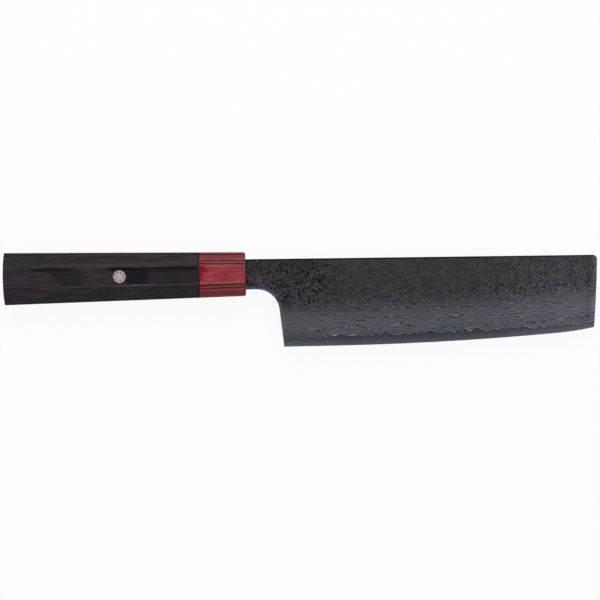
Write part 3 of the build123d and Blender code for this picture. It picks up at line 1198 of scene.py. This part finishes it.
@dataclass(frozen=True)
class Handle:
    """Collar and grip, both of pressed veneers, and the resin round the tang."""

    lines: HandleLines = field(default_factory=HandleLines)
    # Each mark starts with its colour and its strength
    dye_marks: tuple[Mark, ...] = (
        Band("#a8707a", 0.12, 5.0, 12.5, 0.8),
        Band("#8a5c62", 0.16, -12.5, -5.0, 0.8),
        Band("#55191d", 0.3, -10.4, -8.6, 0.8),
        VeneerEdge("#6e3a3c", 0.5, 3.5, 0.6, 1.0),
        VeneerEdge("#5b3230", 0.36, 4.1, 0.9, 1.0),
        VeneerEdge("#6b393b", 0.72, 4.7, 0.8, 1.0),
        VeneerEdge("#4a2c28", 0.62, 6.8, 0.5, 1.0),
        VeneerEdge("#68373a", 0.6, 7.18, 0.44, 1.0),
        VeneerEdge("#402d26", 0.9, 8.26, 0.46, 1.0),
        VeneerEdge("#6c3638", 0.75, 8.66, 0.44, 1.0),
        VeneerEdge("#3a1f1e", 0.85, 9.52, 0.5, -1.0),
        VeneerEdge("#4a2426", 0.45, 9.05, 0.5, -1.0),
        VeneerEdge("#4a2426", 0.55, 8.16, 0.5, -1.0),
        VeneerEdge("#57302f", 0.6, 6.0, 0.6, -1.0),
    )
    highlight_stain_and_end_grain_marks: tuple[Mark, ...] = (
        # Painted highlights, where the rounded arrises catch the light
        Arris("#a6696a", 0.8, -1.0, 0.5, -30.0, 6.0),
        Arris("#9f6063", 0.6, 1.0, 0.5, -30.0, 6.0),
        Stain("#85101b", 0.9, (-23.6, 2.9), (4.8, 2.3)),
        Stain("#8b141e", 0.8, (-23.4, -0.9), (1.9, 3.4)),
        CutEnd("#74403a", 0.45, -1.6, 0.4),
    )
    grip_marks: tuple[Mark, ...] = (
        Band("#2d2c28", 0.3, 4.9, 14.5),
        Band("#544a54", 0.22, 5.2, 7.2, 0.8),
        Band("#241e22", 0.4, -14.5, -4.9),
        Stain("#1f1920", 0.45, (-36.5, 0.0), (19.0, 6.0)),
        LaidBare("#12121a", 0.85, -72.0, -60.0, -48.5, 2.2),
        Stain("#050406", 0.9, (-61.5, 3.85), (10.0, 0.95)),
        LaidBare("#1c1d22", 0.68, -114.0, -93.0, -81.5, 3.0, 1.7),
        Stain("#0d0b10", 0.7, (-99.5, 4.3), (13.5, 1.2)),
        Stain("#0c0a0d", 0.5, (-38.5, 3.1), (17.0, 1.8)),
        Stain("#1c181c", 0.25, (-104.0, 7.5), (32.0, 4.5)),
        Arris("#0a080b", 0.85, 0.885, 0.9, -75.0, -20.0),
        # Painted highlights along the lower arris, where its rounding catches the light
        Arris("#4e474f", 0.5, -1.05, 0.65, -108.0, -20.0),
        Arris("#665c5e", 0.5, -1.0, 0.45, -62.0, -44.0),
        CutEnd("#1a211f", 0.55, -23.9, 0.9),
        GlueRing("#080606", 0.9),
    )

    def build(self) -> None:
        """Dresses the veneers and the resin."""
        red = PressedVeneer(
            "veneer_pressed_red", "#6b2026", "#993a40", "#b35a5f", 1.3,
            band=(6.0, 1.3, 1.3), curl=1.2, marks=self.dye_marks + self.highlight_stain_and_end_grain_marks,
            lines=self.lines,
        )
        brown = PressedVeneer(
            "veneer_pressed_dark_brown", "#180d0a", "#2c1a15", "#452a22", 1.0,
            marks=(
                Band("#6f3234", 0.7, 7.9, 9.3), Band("#6a2f34", 0.6, -9.2, -8.0),
                VeneerEdge("#8a464a", 0.5, 5.44, 0.6, -1.0), *self.highlight_stain_and_end_grain_marks,
            ),
            lines=self.lines,
        )
        black = PressedVeneer(
            "veneer_pressed_black", "#1f1b1f", "#312b32", "#4a4149", 2.0, calm=0.55,
            marks=self.grip_marks, lines=self.lines,
        )
        charcoal = PressedVeneer(
            "veneer_pressed_charcoal", "#1e1a1d", "#322c31", "#4c444b", 2.1, calm=0.55,
            marks=self.grip_marks, lines=self.lines,
        )
        resin = PressedVeneer(
            "bedding_resin_cured", "#3a3226", "#4b4234", "#5c5242", 0.4, lines=self.lines
        )
        dress("collar_red_veneers", red)
        dress("collar_dark_veneers", brown)
        dress("grip_black_veneers", black)
        dress("grip_charcoal_veneers", charcoal)
        dress("tang_bedding_resin", resin)


@dataclass(frozen=True)
class MosaicPin:
    """Brass tube with rods set in metal-filled resin."""

    lines: HandleLines = field(default_factory=HandleLines)

    def build(self) -> None:
        """Dresses the four nodes of the pin."""
        tube = PinMetal(
            "brass_drawn_tube", "#c0ad96", "#988a5a", 1.0, 0.30, 0.12, lines=self.lines
        )
        filler = PinMetal(
            "resin_filled_with_metal_powder", "#b2adb3", "#6e6a74", 0.6, 0.45, lines=self.lines
        )
        rods = PinMetal("steel_rod_blackened", "#3a3a34", "#22221e", 1.0, 0.40, lines=self.lines)
        centre = PinMetal("steel_rod_ground", "#bab0b4", "#7c767c", 1.0, 0.30, lines=self.lines)
        dress("pin_tube", tube)
        dress("pin_filler", filler)
        dress("pin_ring_rods", rods)
        dress("pin_centre_rod", centre)


@dataclass(frozen=True)
class Lamp:
    """A softbox."""

    name: str
    place: tuple[float, float, float]
    size: tuple[float, float]
    watts: float

    def build(self) -> None:
        """Hangs the softbox and turns it to the knife, which lies round the middle of the floor."""
        light = bpy.data.lights.new(self.name, "AREA")
        light.shape, light.energy = "RECTANGLE", self.watts
        light.size, light.size_y = (side * MM for side in self.size)
        lamp = bpy.data.objects.new(self.name, light)
        lamp.location = [length * MM for length in self.place]
        lamp.rotation_euler = (-lamp.location).to_track_quat("-Z", "Y").to_euler()
        bpy.context.scene.collection.objects.link(lamp)


@dataclass(frozen=True)
class Studio:
    """White table, soft light and a long lens straight above the knife's side."""

    # Width that the picture's 600 pixels take in
    view_width: float = 307.03
    # The picture's middle on the knife's axes, and the degrees that the knife lies turned by
    view_centre: tuple[float, float, float] = (27.547, -13.823, 0.0)
    view_turn: float = 1.224
    distance: float = 2000.0
    floor_size: float = 3000.0
    # The floor lies this far under the handle
    floor_gap: float = 0.1
    # Share of plain white in the floor where the camera sees it. The rest keeps the shadow
    floor_white: float = 0.93
    floor_paint: str = "#f4f4f4"
    sky: float = 0.55
    lamps: tuple[Lamp, ...] = (
        Lamp("softbox_spine_side", (0.0, 900.0, 1200.0), (1600.0, 800.0), 9.5),
        Lamp("softbox_edge_side", (0.0, -1000.0, 1000.0), (1600.0, 600.0), 0.8),
    )

    def seen_plain(self, graph: Graph) -> Socket:
        """Draws what the camera sees straight, or in mirrors and glass.

        Args:
            graph: the tree to draw in.

        Returns:
            1 for those rays and 0 for the others.
        """
        path = graph.add("LightPath").node.outputs
        seen = graph.add("MAXIMUM", path["Is Camera Ray"], path["Is Glossy Ray"])
        return graph.add("MAXIMUM", seen, path["Is Transmission Ray"])

    def build(self) -> None:
        """Builds floor, world, lamps and camera."""
        self.build_floor()
        self.build_world()
        for lamp in self.lamps:
            lamp.build()
        self.build_camera()

    def build_floor(self) -> None:
        """Lays a matt white table that keeps a faint shadow."""
        half = self.floor_size / 2 * MM
        mesh = bpy.data.meshes.new("table")
        corners = [(-half, -half), (half, -half), (half, half), (-half, half)]
        mesh.from_pydata([(x, y, -self.floor_gap * MM) for x, y in corners], [], [(0, 1, 2, 3)])
        table = bpy.data.objects.new("table", mesh)
        bpy.context.scene.collection.objects.link(table)
        table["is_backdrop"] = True
        material = bpy.data.materials.new("table_paint_matt_white")
        material.use_nodes = True
        graph = Graph(material.node_tree)
        paint = graph.add("BsdfDiffuse", linear(self.floor_paint))
        glow = graph.add("Emission", linear("#ffffff"), 1.0)
        share = graph.add("MULTIPLY", self.seen_plain(graph), self.floor_white)
        graph.add("OutputMaterial", graph.add("MixShader", share, paint, glow))
        mesh.materials.append(material)

    def build_world(self) -> None:
        """Makes a sky that is white where it is seen, and an even soft light otherwise."""
        world = bpy.data.worlds.new("studio")
        world.use_nodes = True
        bpy.context.scene.world = world
        graph = Graph(world.node_tree)
        strength = graph.add("MapRange", self.seen_plain(graph), 0.0, 1.0, self.sky, 1.0)
        graph.add("OutputWorld", graph.add("Background", linear("#ffffff"), strength))

    def build_camera(self) -> None:
        """Sets up the photograph's view."""
        camera = bpy.data.cameras.new("camera")
        camera.lens = camera.sensor_width * self.distance / self.view_width
        holder = bpy.data.objects.new("camera", camera)
        above = Vector((0.0, 0.0, self.distance))
        holder.location = (KnifeAxes().origin() + Vector(self.view_centre) + above) * MM
        holder.rotation_euler = (0.0, 0.0, -radians(self.view_turn))
        bpy.context.scene.collection.objects.link(holder)
        bpy.context.scene.camera = holder
        bpy.context.scene.view_settings.view_transform = "Standard"


def main() -> None:
    """Dresses the knife and sets up the studio."""
    logging.basicConfig(level=logging.INFO, format="%(name)s: %(message)s")
    Blade().build()
    Handle().build()
    MosaicPin().build()
    Studio().build()
    boxes = {"cad": cad_box, "visual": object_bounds()}
    sizes = {name: [list(corner) for corner in box] for name, box in boxes.items()}


if __name__ == "__main__":
    main()
